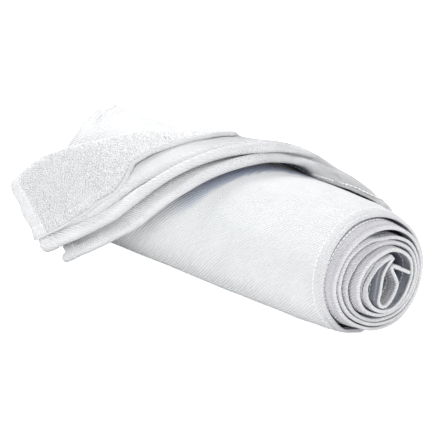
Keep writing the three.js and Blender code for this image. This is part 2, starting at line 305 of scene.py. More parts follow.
# Painted shade of the looped face's ground between its loops
GROUND_PAINTED_SHADE = 0.76

# Name of the cloth's own coordinates, and how far the ribs slant from the towel's width
CLOTH_MAP = "cloth_place"
RIB_SLANT = -36.0

# Terry loop: rings along its yarn, the yarn's radius, half its span, how deep it is
# rooted, how far it strays and leans, and its smallest and largest size
LOOP_STATIONS = 5
LOOP_RADIUS = 0.36
LOOP_REACH = 0.55
LOOP_ROOT = 0.15
LOOP_JITTER = 0.3
LOOP_LEAN = 0.25
LOOP_SIZES = (0.75, 1.2)
# Size of a stitch across itself: its width and its height
STITCH_SECTION = (1.0, 0.8)

WHITE = (1.0, 1.0, 1.0, 1.0)

# Stage, in metres: floor, and each light's name, place, size, power and colour
FLOOR_SIZE = 6.0
WORLD_COLOUR = (0.945, 0.965, 1.0)
WORLD_STRENGTH = 0.72
FLOOR_GLOW = 0.95
LIGHTS = (
    ("key_light", (-0.85, 0.35, 1.4), 0.5, 15.0, (1.0, 0.99, 0.98)),
    ("front_light", (-0.5, -1.7, 0.8), 1.2, 11.0, (1.0, 0.995, 0.99)),
    ("end_light", (1.7, 0.1, 0.9), 1.2, 11.0, (1.0, 0.995, 0.99)),
)
# Camera at the photograph's angle: round the towel and above the floor, in degrees; its distance
# from its target, in metres; its lens and sensor, in millimetres
CAMERA_ANGLES = (50.0, 19.0)
CAMERA_DISTANCE = 2.5
CAMERA_TARGET = (-0.01, 0.0086, 0.0412)
CAMERA_LENS = 306.7
SENSOR = 36.0


def length_setting(name, description, value, low, high):
    """A length for the panel, given in millimetres."""
    limits = {"default": value * MM, "min": low * MM, "max": high * MM}
    return bpy.props.FloatProperty(
        name=name, description=description, unit="LENGTH", precision=4, **limits
    )


def colour_setting(name, description, value):
    """A colour for the panel."""
    return bpy.props.FloatVectorProperty(
        name=name, description=description, subtype="COLOR", size=3, min=0.0, max=1.0, default=value
    )


class TowelSizes(bpy.types.PropertyGroup):
    """Sizes of the cloth that a maker would choose"""

    thickness: length_setting("Cloth thickness", "Distance between its faces", 1.9, 1.0, 3.0)
    hem_width: length_setting("Hem width", "Width of the strip along a long hem", 10.8, 4.0, 15.0)
    hem_relief: length_setting("Hem relief", "How much thicker the hem strip is", 0.5, 0.0, 1.5)
    stitch_length: length_setting("Stitch length", "Length of one lock stitch", 2.6, 1.0, 4.0)
    stitch_pitch: length_setting("Stitch pitch", "From one stitch to the next", 3.0, 1.5, 6.0)
    loop_height: length_setting("Loop height", "Height of the loops on the flap", 1.1, 0.5, 2.5)
    loop_spacing: length_setting("Loop spacing", "From one loop to the next", 1.75, 1.0, 3.0)


class TowelColours(bpy.types.PropertyGroup):
    """Colours of the towel and its stage"""

    cloth: colour_setting("Cloth", "Bleached white cotton", (0.82, 0.82, 0.823))
    pile: colour_setting("Pile", "Looped yarn, whiter than the cloth", (0.985, 0.985, 0.985))
    thread: colour_setting("Thread", "Sewing thread of the hems", (0.97, 0.97, 0.965))
    floor: colour_setting("Floor", "Pale floor that the towel lies on", (0.96, 0.96, 0.96))


def share_between(x, low, high):
    """Smooth share of the way from low to high, 0 before it and 1 after it."""
    f = np.clip((np.asarray(x, float) - low) / (high - low), 0, 1)
    return f * f * (3 - 2 * f)


def eased(table, x):
    """Columns of a table at x, which its first column holds, eased from row to row."""
    rows = np.asarray(table, float)
    x = np.asarray(x, float)
    i = np.clip(np.searchsorted(rows[:, 0], x, side="right") - 1, 0, len(rows) - 2)
    a, b = rows[i], rows[i + 1]
    f = np.clip((x - a[..., 0]) / (b[..., 0] - a[..., 0]), 0, 1)
    f = (f * f * (3 - 2 * f))[..., None]
    return (a + (b - a) * f)[..., 1:]


def curve_at(rows, place):
    """Point of a smooth curve through rows, at a place counted in rows."""
    rows = np.asarray(rows, float)
    i = int(min(max(place, 0), len(rows) - 1.000001))
    f = place - i
    before = rows[i - 1] if i > 0 else 2 * rows[0] - rows[1]
    after = rows[i + 2] if i + 2 < len(rows) else 2 * rows[-1] - rows[-2]
    leave = (rows[i + 1] - before) / 2
    arrive = (after - rows[i]) / 2
    step = rows[i] - rows[i + 1]
    return (
        rows[i]
        + leave * f
        + (-3 * step - 2 * leave - arrive) * f**2
        + (2 * step + leave + arrive) * f**3
    )


def added_up(steps):
    """Running total of steps, from 0."""
    return np.concatenate(([0.0], np.cumsum(steps)))


def lengths_along(points):
    """Distance from a line's first point to each of its points."""
    return added_up(np.linalg.norm(np.diff(points, axis=0), axis=1))


def columns_at(x, places, table):
    """Columns of a table at x, where places are those of its rows."""
    return np.stack([np.interp(x, places, column) for column in table.T], axis=-1)


def lines_at(points, places):
    """Points of a line at distances along it."""
    return columns_at(places, lengths_along(points), points)


def evenly(points, spacing):
    """Points spaced evenly along a line."""
    total = lengths_along(points)[-1]
    count = max(int(round(total / spacing)), 1)
    return lines_at(points, np.linspace(0, total, count + 1))


def unit(vectors):
    """Vectors brought to length one."""
    size = np.linalg.norm(vectors, axis=-1, keepdims=True)
    return vectors / np.maximum(size, 1e-9)


def filled(along):
    """How full the roll is at a distance along it, from 0 at the spiral end to 1."""
    return eased(FILLING, np.maximum(along, 0))[..., 0]


def on_roll(along, arc, height):
    """A place over the roll; below its front the cloth hangs straight."""
    full = filled(along)
    wide = END_HALF_SIZES[0] + (ROLL_RADIUS - END_HALF_SIZES[0]) * full
    tall = END_HALF_SIZES[1] + (ROLL_RADIUS - END_HALF_SIZES[1]) * full
    side = END_CENTRE[0] * (1 - full)
    centre = END_CENTRE[1] + (ROLL_RADIUS - END_CENTRE[1]) * full
    angle = np.maximum(arc, 0) / ROLL_RADIUS
    hanging = np.minimum(arc, 0)
    return np.stack(
        (
            HALF_WIDTH - along,
            side - (wide + height) * np.cos(angle),
            centre + (tall + height) * np.sin(angle) + hanging,
        ),
        axis=-1,
    )


def spiral_knots():
    """Points of the spiral end: right and above the middle, standing out, and angle wound."""
    knots = [(y, z, out, -180.0 + 180.0 * i / len(CORE)) for i, (y, z, out) in enumerate(CORE)]
    for turn, (radii, outs) in enumerate(zip(TURN_RADII, TURN_OUT)):
        for i, (radius, out) in enumerate(zip(radii, outs)):
            wound = 360.0 * turn + TURN_STEP * i
            angle = math.radians(90.0 - wound)
            knots.append((-radius * math.cos(angle), radius * math.sin(angle), out, wound))
    return np.array(knots)


def wound_rows():
    """Knots of the roll's rows of cloth, from the core outwards."""
    knots = spiral_knots()
    fine = np.array([curve_at(knots, p) for p in np.linspace(0, len(knots) - 1, 2400)])
    last = np.searchsorted(fine[:, 3], LAST_ANGLE)
    fine = fine[:last]
    along = lengths_along(fine[:, :2])
    weight = 1 + CORE_ROWS[0] * np.exp(-along / CORE_ROWS[1])
    even = added_up(np.diff(along) * weight[1:])
    places = np.linspace(0, even[-1], ROLL_ROWS)
    return columns_at(places, even, fine)


@functools.cache
def turn_rims():
    """Angles wound of the knots of the spiral, their radii and how far they stand out."""
    knots = spiral_knots()
    return knots[:, 3], np.hypot(knots[:, 0], knots[:, 1]), knots[:, 2]


def rounding_out(wound):
    """How much a point of the spiral moves out where the roll is full and round."""
    first, full = ROUND_RADIUS
    outer = LAST_ANGLE - (LAST_ANGLE - wound) % 360
    angles, radii, _ = turn_rims()
    angle = math.radians(90 - outer)
    aim = np.array((-math.cos(angle), math.sin(angle)))
    shift = np.array((SPIRAL_MIDDLE[0], SPIRAL_MIDDLE[1] - ROLL_RADIUS))
    target = first + (full - first) * share_between(outer, *ROUNDING)
    along = shift @ aim
    reach = math.sqrt(along**2 - shift @ shift + target**2) - along
    return reach / np.interp(outer, angles, radii)


def widening(row, along):
    """How much a turn widens behind its rim, to come under the edge of the turn outside it."""
    y, z, out, wound = row
    angles, radii, outs = turn_rims()
    radius = math.hypot(y, z)
    room = np.interp(wound + 360, angles, radii) - CLOSE_PITCH - radius
    share = eased(CLOSING, wound % 360)[0] * share_between(wound, *WIDENS_FROM)
    share *= 1 - share_between(wound, *WIDENS_TO)
    share *= 1 - share_between(wound, *WEDGE[:2]) + share_between(wound, *WEDGE[2:])
    edge = np.interp(wound + 360, angles, outs)
    return 1 + share * max(room, 0) / radius * share_between(along, -out, 0.5 - edge)


def far_hem(wound):
    """How far along the roll its far hem lies, at an angle wound."""
    over = (90 - wound + 100) % 360 - 100
    inside = eased(INNER_FAR_HEM, over)[0] - eased(INNER_DISH, wound)[0]
    outside = eased(FAR_HEM, wound)[0]
    return inside + (outside - inside) * share_between(wound, *LAST_TURNS)


def wound_points(row, shares):
    """Points of one row of the roll at shares of the width from hem to hem."""
    y, z, out, wound = row
    near = -out + (LOWER_FOLD[0][0] + out) * share_between(wound, LAST_ANGLE - 60, LAST_ANGLE)
    far = far_hem(wound)
    along = near + (far - near) * shares
    growth = 1 + (rounding_out(wound) - 1) * filled(along)
    growth *= widening(row, along)
    return np.stack(
        (HALF_WIDTH - along, SPIRAL_MIDDLE[0] + y * growth, SPIRAL_MIDDLE[1] + z * growth), axis=1
    )


def station_tables():
    """The three fold lines of the loose end, with their angles turned into arc lengths."""
    scale = np.array((1.0, ARC_PER_DEGREE, 1.0))
    return [np.array(table, float) * scale for table in (LOWER_FOLD, FRONT_ROLL, BACK_FOLD)]


def towards(a, b, distance):
    """Point that lies a distance from a towards b, at a's height."""
    step = np.array((b[0] - a[0], b[1] - a[1], 0.0))
    return a + unit(step) * distance


def fold_points(a, b, direction):
    """Half circle of cloth from a to b that bulges along a direction."""
    middle = (a + b) / 2
    radius = np.linalg.norm(a - b) / 2
    turns = np.linspace(0, math.pi, 13)[1:]
    return [middle + (a - middle) * math.cos(t) + direction * radius * math.sin(t) for t in turns]


def hem_place(table, station):
    """Place of a long hem at a station."""
    rows = np.array(table)
    return columns_at(station, rows[:, 0], rows[:, 1:]) * (1, ARC_PER_DEGREE, 1)


def folded_line(w, tables):
    """Back-and-forth line of the cloth across the loose end at w, from hem to hem."""
    station = w * (len(PLIES) - 1)
    low, roll, back = (curve_at(table, station) for table in tables)
    numbered = [(i, *row) for i, row in enumerate(PLIES)]
    low_rise, overlap, thick, crease_back, crease_depth = eased(numbered, station)
    has_pleat = share_between(overlap, 0, FULL_PLEAT)
    has_flap = share_between(station, *FLAP_FROM)
    up = np.array((0.0, 0.0, 1.0))
    roll_rise = thick * has_pleat
    pleat_rise = PLY_PITCH * PLEAT_RISE * has_pleat
    flap_rise = FLAP_RISE * has_flap + FLAP_SWELL * share_between(station, *SWELLS)
    flat = np.array((1.0, 1.0, 0.0))
    low_out = unit((low - back) * flat)
    roll_out = unit((roll - back) * flat)

    near_hem = hem_place(NEAR_HEM, station)
    near_hem = near_hem + (low - near_hem) * (1 - share_between(station, *HEM_LEAVES))
    come_down = max(low[2] - RESTING_HEIGHT, 0)
    under_rest = towards(low, near_hem, UNDER_LENGTH) - up * come_down
    upper_rest = towards(low, back, LIFT_LENGTH) + up * (UPPER_STEP - come_down)
    pleat = towards(roll, back, overlap)
    pleat[2] = roll[2] - roll_rise / 2 - PLY_PITCH * PLEAT_DROP * has_pleat
    flap_hem = back + (hem_place(FLAP_HEM, station) - back) * has_flap

    low_in = low - low_out * low_rise / 2
    pleat_in = pleat + roll_out * pleat_rise / 2
    roll_in = roll - roll_out * roll_rise / 2
    roll_top = roll_in + up * roll_rise / 2
    back_in = back + roll_out * flap_rise / 2
    crease = towards(roll_top, back_in, max(crease_back - roll_rise / 2, 0.5))
    crease = crease - up * crease_depth
    behind = towards(crease, back_in, CREASE_LENGTH) + up * crease_depth * CREASE_CLOSES
    rests = share_between(station, *PLIES_REST)
    points = [near_hem]
    if rests > LEFT_OUT:
        halfway = near_hem + (low_in - near_hem) * 0.5
        points.append(halfway + (under_rest - (near_hem + low_in) / 2) * rests)
    points += [low_in, *fold_points(low_in, low_in + up * low_rise, low_out)]
    if rests > LEFT_OUT:
        straight = (low_in + up * low_rise + pleat_in) / 2
        points.append(straight + (upper_rest - straight) * rests)
    points.append(pleat_in)
    points += fold_points(pleat_in, pleat_in + up * pleat_rise, -roll_out)
    points.append(roll_in - up * roll_rise / 2)
    points += fold_points(roll_in - up * roll_rise / 2, roll_top, roll_out)
    if crease_depth > LEFT_OUT:
        points += [crease, behind]
    points.append(back_in)
    points += fold_points(back_in, back_in + up * flap_rise, -roll_out)
    points.append(flap_hem)
    return np.array(points)


def softened(points, distance):
    """Softens a line's corners over a distance, and holds its ends."""
    reach = int(math.ceil(2.5 * distance / SECTION_SPACING))
    count = len(points)
    places = np.arange(count)
    room = np.minimum(np.minimum(reach, places), count - 1 - places)
    total = np.zeros((count, 1))
    result = np.zeros_like(points)
    for k in range(-reach, reach + 1):
        weight = math.exp(-0.5 * (k * SECTION_SPACING / distance) ** 2)
        use = np.abs(k) <= room
        result[use] += weight * points[places[use] + k]
        total[use] += weight
    return result / total


def shared_out(points, count):
    """A fixed number of points along a line, closer where it turns and at both hems."""
    steps = np.diff(points, axis=0)
    sizes = np.linalg.norm(steps, axis=1)
    directions = steps / np.maximum(sizes[:, None], 1e-9)
    turning = np.arccos(np.clip((directions[1:] * directions[:-1]).sum(axis=1), -1, 1))
    along = added_up(sizes)
    middle = (along[1:] + along[:-1]) / 2
    from_hem = np.minimum(middle, along[-1] - middle)
    cost = sizes * (1 + 1.2 * np.exp(-((from_hem / HEM_WEIGHT) ** 2)))
    cost[1:] += FOLD_WEIGHT * turning
    paid = added_up(cost)
    return np.interp(np.linspace(0, paid[-1], count), paid, along)


def hem_columns(places, total):
    """Column places with the columns that round both hems added."""
    near = [distance for distance, _ in HEM_ROUND]
    inner = np.clip(places, near[-1] + 0.6, total - near[-1] - 0.6)
    return np.concatenate((near, inner, [total - distance for distance in reversed(near)]))


def cloth_grid():
    """Middle of the cloth, row by row, with the cloth's own coordinates of each point."""
    inner_count = COLUMNS - 2 * len(HEM_ROUND)
    grid, across, flap_from = [], [], []
    ruler = np.linspace(0, 1, 301)
    for row in wound_rows():
        line = wound_points(row, ruler)
        total = lengths_along(line)[-1]
        flat_line = np.stack((ruler * total, ruler * 0), axis=1)
        places = hem_columns(shared_out(flat_line, inner_count), total)
        grid.append(lines_at(line, places))
        across.append(places / total * TOWEL_WIDTH)
        flap_from.append(TOWEL_WIDTH)
    tables = station_tables()
    for w in np.linspace(0, 1, LOOSE_ROWS + 1)[1:]:
        soft = SOFT_FOLD + (PRESSED_FOLD - SOFT_FOLD) * share_between(w, *PRESSED_FROM)
        section = softened(evenly(folded_line(w, tables), SECTION_SPACING), soft)
        total = lengths_along(section)[-1]
        places = hem_columns(shared_out(section, inner_count), total)
        chosen = lines_at(section, places)
        grid.append(on_roll(chosen[:, 0], chosen[:, 1], chosen[:, 2]))
        across.append(places / total * TOWEL_WIDTH)
        station = w * (len(PLIES) - 1)
        flap = hem_place(FLAP_HEM, station) - curve_at(tables[2], station)
        length = np.linalg.norm(flap) * share_between(station, *FLAP_FROM)
        flap_from.append(TOWEL_WIDTH * (1 - length / total))
    grid, across = np.array(grid), np.array(across)
    steps = np.linalg.norm(np.diff(grid, axis=0), axis=2).mean(axis=1)
    onward = added_up(steps)
    onward = onward / onward[-1] * TOWEL_LENGTH
    onward = np.repeat(onward[:, None], grid.shape[1], axis=1)
    return grid, across, onward, np.array(flap_from)


def normals_of(grid):
    """Direction out of the cloth's smooth face at each point of the grid."""
    onward = np.gradient(grid, axis=0)
    across = np.gradient(grid, axis=1)
    return unit(np.cross(across, onward))


def undulation(across, onward):
    """Small unevenness of the cloth in millimetres, the same on each run."""
    depth = UNEVENNESS[0] + UNEVENNESS[1] * share_between(onward, *UNEVEN_FROM)
    wide, long = UNEVEN_PATCH
    result = np.zeros(across.shape)
    for at in np.ndindex(across.shape):
        result[at] = noise.noise(Vector((across[at] / wide, onward[at] / long, 0.7)))
    return result * depth


def dented(grid, normals, onward):
    """Presses the soft dent into the front of the roll."""
    along, angle, radius, depth = DENT
    angle = math.radians(angle)
    centre = np.array(
        (HALF_WIDTH - along, -ROLL_RADIUS * math.cos(angle), ROLL_RADIUS * (1 + math.sin(angle)))
    )
    near = np.exp(-((np.linalg.norm(grid - centre, axis=-1) / radius) ** 2))
    pressed = depth * near * share_between(onward, *DENTED_TURNS)
    return grid - normals * pressed[..., None]


def half_thicknesses(across, onward, sizes):
    """How far the smooth face and the looped face lie from the middle of the cloth."""
    half = sizes.thickness / MM / 2
    hem, relief = sizes.hem_width / MM, sizes.hem_relief / MM
    from_hem = np.minimum(across, TOWEL_WIDTH - across)
    from_end = np.minimum(onward, TOWEL_LENGTH - onward)
    from_edge = np.minimum(from_hem, from_end)
    strip = 1 - share_between(from_edge - hem, *STRIP_ENDS)
    seam = np.exp(-(((from_edge - hem + SEAM_INSET) / SEAM_HALF_WIDTH) ** 2))
    on_show = share_between(onward, LOOSE_FROM, LOOSE_FROM + 60)
    bead = (1 - share_between(from_edge, BEAD_WIDTH - 0.5, BEAD_WIDTH + 0.4)) * on_show
    bead = bead * (1 - 0.8 * (from_end < from_hem))
    groove = np.exp(-(((from_edge - BEAD_WIDTH - 0.9) / 0.8) ** 2))
    distances = [d for d, _ in HEM_ROUND]
    rounding = np.interp(from_hem, distances, [share for _, share in HEM_ROUND])
    end_strip = 1 - share_between(TOWEL_LENGTH - onward, END_HEM - 0.6, END_HEM + 0.4)
    smooth = (half + relief * strip - SEAM_DEPTH * relief * seam) * rounding
    looped = (half + BEAD_HEIGHT * (bead + end_strip) - GROOVE_DEPTH * groove) * rounding
    return smooth, looped


def to_frame(points):
    """Points of the roll's own place in the frame, in metres."""
    return (points + PLACE) * MM


def fold_line_shade(grid, onward):
    """Share of the painted shadow in front of the lower fold, at each point of the roll's last
    turns.
    """
    table = station_tables()[0]
    stations = np.linspace(FOLD_LINE[0][0], FOLD_LINE[-1][0], 160)
    line = np.array([curve_at(table, station)[:2] for station in stations])
    onto = unit(np.gradient(line, axis=0))
    angle = np.arctan2(grid[..., 2] - ROLL_RADIUS, -grid[..., 1])
    place = np.stack((HALF_WIDTH - grid[..., 0], angle * ROLL_RADIUS), axis=-1)
    steps = place[:, :, None, :] - line
    nearest = np.linalg.norm(steps, axis=-1).argmin(axis=-1)
    step = np.take_along_axis(steps, nearest[..., None, None], axis=2)[..., 0, :]
    in_front = step[..., 0] * onto[nearest, 1] - step[..., 1] * onto[nearest, 0]
    width, strength = np.moveaxis(eased(FOLD_LINE, stations[nearest]), -1, 0)
    share = share_between(in_front, *FOLD_LINE_UNDER) - share_between(in_front, 0.3 * width, width)
    ends = (nearest > 0) & (nearest < len(stations) - 1)
    return share * strength * ends * (onward > FOLD_LINE_FROM) * (onward < LOOSE_FROM)


def puckered(grid, normals, across, onward):
    """Soft puckers of the short hem of the loose end."""
    share, size = FINE_PUCKERS
    near = share_between(onward, *PUCKERS_FROM)
    waves = np.sin(2 * math.pi * across / PUCKER_PITCH + 0.6) + share * np.sin(across / size)
    return grid + normals * (PUCKER_DEPTH / (1 + share) * near * waves)[..., None]


def smooth_floor(grid, half):
    """Keeps the middle of the cloth half its thickness, and its stitches, above the floor."""
    lowest = FLAT_SPOT_Z + half + 0.4
    result = grid.copy()
    gap = result[..., 2] - lowest
    near = FLOOR_EASE * np.exp((np.minimum(gap, FLOOR_EASE) - FLOOR_EASE) / FLOOR_EASE)
    result[..., 2] = lowest + np.where(gap > FLOOR_EASE, gap, near)
    return result


def new_mesh_object(name, vertices, faces, material_of_faces, materials, smooth=True):
    """Object with its mesh at the origin, its materials and smooth faces."""
    mesh = bpy.data.meshes.new(name)
    mesh.from_pydata(vertices.tolist(), [], faces.tolist() if hasattr(faces, "tolist") else faces)
    for material in materials:
        mesh.materials.append(material)
    if material_of_faces is not None:
        mesh.polygons.foreach_set("material_index", material_of_faces)
    mesh.polygons.foreach_set("use_smooth", [smooth] * len(mesh.polygons))
    mesh.update()
    made = bpy.data.objects.new(name, mesh)
    bpy.context.scene.collection.objects.link(made)
    return made


def grid_faces(rows, columns):
    """Faces of a closed cloth: its outer face, its inner face and the rims round them."""
    count = rows * columns
    i, j = np.meshgrid(np.arange(rows - 1), np.arange(columns - 1), indexing="ij")
    a = (i * columns + j).ravel()
    outer = np.stack((a, a + 1, a + columns + 1, a + columns), axis=1)
    inner = outer[:, ::-1] + count
    rims = []
    for r in range(rows - 1):
        left, below = r * columns, (r + 1) * columns
        rims.append((left, below, below + count, left + count))
        left, below = left + columns - 1, below + columns - 1
        rims.append((left, left + count, below + count, below))
    for c in range(columns - 1):
        rims.append((c, c + count, c + 1 + count, c + 1))
        far = (rows - 1) * columns + c
        rims.append((far, far + 1, far + 1 + count, far + count))
    rims = np.array(rims)
    faces = np.concatenate((outer, inner, rims))
    kinds = np.concatenate((np.zeros(len(outer)), np.ones(len(inner)), np.zeros(len(rims))))
    return faces, kinds.astype(np.int32)


def new_group(name, inputs, output):
    """Node group with a vector and other inputs: its tree, its input slots and its one output."""
    group = bpy.data.node_groups.new(name, "ShaderNodeTree")
    sockets = group.interface
    sockets.new_socket(name="Vector", in_out="INPUT", socket_type="NodeSocketVector")
    for label, value in inputs.items():
        kind = "NodeSocketFloat" if isinstance(value, float) else "NodeSocketColor"
        sockets.new_socket(name=label, in_out="INPUT", socket_type=kind).default_value = value
    kind = "NodeSocketColor" if output == "Tint" else "NodeSocketFloat"
    sockets.new_socket(name=output, in_out="OUTPUT", socket_type=kind)
    start = group.nodes.new("NodeGroupInput")
    end = group.nodes.new("NodeGroupOutput")
    return group, start.outputs, end.inputs[output]


def map_range(tree, value, low, high, kind="SMOOTHSTEP"):
    """Map range node between two values of what is linked to it."""
    made = tree.nodes.new("ShaderNodeMapRange")
    made.interpolation_type = kind
    tree.links.new(value, made.inputs["Value"])
    made.inputs["From Min"].default_value = low
    made.inputs["From Max"].default_value = high
    return made


def noise_of(tree, vector, scale, detail):
    """Noise over a place, at a linked scale."""
    made = tree.nodes.new("ShaderNodeTexNoise")
    tree.links.new(vector, made.inputs["Vector"])
    tree.links.new(scale, made.inputs["Scale"])
    made.inputs["Detail"].default_value = detail
    return made.outputs["Fac"]


def feed(tree, slot, value):
    """Links a socket to another one, or sets it to a value."""
    if isinstance(value, bpy.types.NodeSocket):
        tree.links.new(value, slot)
    else:
        slot.default_value = value


def math_node(tree, operation, *values):
    """Math node with its values set or linked."""
    made = tree.nodes.new("ShaderNodeMath")
    made.operation = operation
    for slot, value in zip(made.inputs, values):
        feed(tree, slot, value)
    return made.outputs[0]


def colour_mix(tree, factor, a, b, blend="MIX"):
    """Mix node of two colours with its factor and colours set or linked."""
    made = tree.nodes.new("ShaderNodeMix")
    made.data_type = "RGBA"
    made.blend_type = blend
    for i, value in ((0, factor), (6, a), (7, b)):
        feed(tree, made.inputs[i], value)
    return made.outputs[2]


def wave_along(tree, vector, direction, pitch):
    """Sine of the place along a direction of the cloth, with one wave per pitch."""
    dot = tree.nodes.new("ShaderNodeVectorMath")
    dot.operation = "DOT_PRODUCT"
    tree.links.new(vector, dot.inputs[0])
    dot.inputs[1].default_value = (*direction, 0.0)
    turns = math_node(tree, "DIVIDE", dot.outputs["Value"], pitch)
    return math_node(tree, "SINE", math_node(tree, "MULTIPLY", turns, 2 * math.pi))


def woven_ribs():
    """Node group of fine slanting ribs broken into dots: a woven face's relief and painted shade.
    """
    inputs = {"Rib pitch": 0.00178, "Dots per metre": 800.0, "Unevenness": 0.3}
    group, start, end = new_group("woven_ribs", inputs, "Height")
    slant = math.radians(RIB_SLANT)
    direction = (math.sin(slant), math.cos(slant))
    rib = wave_along(group, start["Vector"], direction, start["Rib pitch"])
    dots = noise_of(group, start["Vector"], start["Dots per metre"], 1.0)
    share = math_node(group, "MULTIPLY", math_node(group, "SUBTRACT", dots, 0.5), 2.0)
    broken = math_node(group, "MULTIPLY", rib, math_node(group, "ADD", share, 0.7))
    uneven = math_node(group, "MULTIPLY", share, start["Unevenness"])
    group.links.new(math_node(group, "ADD", broken, uneven), end)
    return group


def masked_by_place(tree, vector, ranges):
    """Product of soft steps between two distances along the axes of a place on the cloth."""
    place = tree.nodes.new("ShaderNodeSeparateXYZ")
    tree.links.new(vector, place.inputs["Vector"])
    share = 1.0
    for axis, (low, high) in ranges:
        step = map_range(tree, place.outputs[axis], low * MM, high * MM)
        share = math_node(tree, "MULTIPLY", share, step.outputs["Result"])
    return share


def inner_shade():
    """Node group of painted shade inside the roll: rims left bright, grey faces, darker deep gaps.
    """
    inputs = {"Face": FACE_PAINTED_SHADE, "Deep": DEEP_SMOOTH_PAINTED_SHADE}
    group, start, end = new_group("inner_shade", inputs, "Tint")
    deep = masked_by_place(group, start["Vector"], (("X", DEEP_INSIDE),))
    deepened = colour_mix(group, deep, start["Face"], start["Deep"])
    ranges = (("X", RIM_LIGHT), ("Y", INNER_TURNS), ("X", SPIRAL_HALF))
    share = masked_by_place(group, start["Vector"], ranges)
    group.links.new(colour_mix(group, share, WHITE, deepened), end)
    return group


def tucked_shade():
    """Node group of the painted deep shade under the lower fold of the loose end."""
    group, start, end = new_group("tucked_shade", {"Deep": TUCKED_PAINTED_SHADE}, "Tint")
    ranges = (("X", TUCKED_PLY), ("Y", TUCKED_FROM), ("Y", TUCKED_TO))
    share = masked_by_place(group, start["Vector"], ranges)
    group.links.new(colour_mix(group, share, WHITE, start["Deep"]), end)
    return group


def hem_shade():
    """Node group of painted shade on the near hem's strip, which eases to full colour past its
    edge.
    """
    group, start, end = new_group("hem_shade", {"Strip width": 0.01, "Strip": 0.94}, "Shade")
    place = group.nodes.new("ShaderNodeSeparateXYZ")
    group.links.new(start["Vector"], place.inputs["Vector"])
    beyond = math_node(group, "SUBTRACT", place.outputs["X"], start["Strip width"])
    step = map_range(group, beyond, -0.2 * MM, 1.0 * MM)
    group.links.new(start["Strip"], step.inputs["To Min"])
    group.links.new(step.outputs["Result"], end)
    return group


def washed_cotton():
    """Node group of the soft, cloudy shade of washed cotton, from pale to full."""
    inputs = {"Patch size": 0.02, "Lowest": 0.94}
    group, start, end = new_group("washed_cotton", inputs, "Shade")
    scale = math_node(group, "DIVIDE", 1.0, start["Patch size"])
    spread = map_range(group, noise_of(group, start["Vector"], scale, 4.0), 0.3, 0.7, "LINEAR")
    group.links.new(start["Lowest"], spread.inputs["To Min"])
    group.links.new(spread.outputs["Result"], end)
    return group


def group_node(tree, make, vector, **values):
    """Places a node group, made once and then shared, in a material with its own values."""
    node = tree.nodes.new("ShaderNodeGroup")
    node.node_tree = bpy.data.node_groups.get(make.__name__) or make()
    tree.links.new(vector, node.inputs["Vector"])
    for name, value in values.items():
        node.inputs[name.replace("_", " ")].default_value = value
    return node


def plain_material(name, colour, roughness):
    """Material of one colour, with its tree and its shader."""
    material = bpy.data.materials.new(name)
    material.use_nodes = True
    tree = material.node_tree
    shader = next(node for node in tree.nodes if node.type == "BSDF_PRINCIPLED")
    shader.inputs["Base Color"].default_value = (*colour, 1.0)
    shader.inputs["Roughness"].default_value = roughness
    return material, tree, shader


def cotton_material(name, colour, roughness, sheen):
    """Material with a soft cotton shader, its tree and its shader."""
    material, tree, shader = plain_material(name, colour, roughness)
    shader.inputs["Specular IOR Level"].default_value = 0.2
    shader.inputs["Sheen Weight"].default_value = sheen
    shader.inputs["Sheen Roughness"].default_value = 0.6
    return material, tree, shader


def shade_colour(tree, shader, colour, *shades):
    """Base colour as the material's colour times shades that change over the surface."""
    shaded = (*colour, 1.0)
    for shade in shades:
        shaded = colour_mix(tree, 1.0, shaded, shade, "MULTIPLY")
    tree.links.new(shaded, shader.inputs["Base Color"])


def bump_from(tree, shader, height, distance):
    """Bump in the shader's normal from a height."""
    bump = tree.nodes.new("ShaderNodeBump")
    bump.inputs["Distance"].default_value = distance
    bump.inputs["Strength"].default_value = 1.0
    tree.links.new(height, bump.inputs["Height"])
    tree.links.new(bump.outputs["Normal"], shader.inputs["Normal"])


def cloth_place(tree):
    """The cloth's own coordinates, in metres across and along the towel."""
    place = tree.nodes.new("ShaderNodeUVMap")
    place.uv_map = CLOTH_MAP
    return place.outputs["UV"]


def ribbed_face_material(colours, sizes):
    """Smooth face of the towel: fine slanting ribs in white cotton."""
    material, tree, shader = cotton_material(
        "ribbed_face", colours.cloth, roughness=0.85, sheen=0.25
    )
    place = cloth_place(tree)
    ribs = group_node(tree, woven_ribs, place, Unevenness=0.9)
    cotton = group_node(tree, washed_cotton, place)
    # Painted shade that follows the ribs' relief, weaker on the folded loose end
    folded = masked_by_place(tree, place, (("Y", (LOOSE_FROM + 50, LOOSE_FROM + 150)),))
    depth = math_node(tree, "SUBTRACT", 0.1, math_node(tree, "MULTIPLY", folded, 0.055))
    rib_painted_shade = math_node(tree, "MULTIPLY", ribs.outputs["Height"], depth)
    woven = math_node(tree, "ADD", cotton.outputs["Shade"], rib_painted_shade)
    # Painted shade on the smooth face of the turns inside the roll
    inner = group_node(tree, inner_shade, place, Face=FACE_PAINTED_SHADE)
    # Painted shade on the strip of the near hem
    hem = group_node(tree, hem_shade, place, Strip_width=sizes.hem_width)
    # Painted deep shade under the lower fold
    tucked = group_node(tree, tucked_shade, place)
    # Painted shadow on the roll in front of the lower fold, read from its own map
    line = tree.nodes.new("ShaderNodeUVMap")
    line.uv_map = FOLD_LINE_MAP
    fold_shadow_share = tree.nodes.new("ShaderNodeSeparateXYZ")
    tree.links.new(line.outputs["UV"], fold_shadow_share.inputs["Vector"])
    painted_fold_shadow = colour_mix(tree, fold_shadow_share.outputs["X"], WHITE, FOLD_PAINTED_SHADOW)
    shades = (woven, inner.outputs["Tint"], hem.outputs["Shade"], tucked.outputs["Tint"], painted_fold_shadow)
    shade_colour(tree, shader, colours.cloth, *shades)
    bump_from(tree, shader, ribs.outputs["Height"], distance=0.0003)
    return material


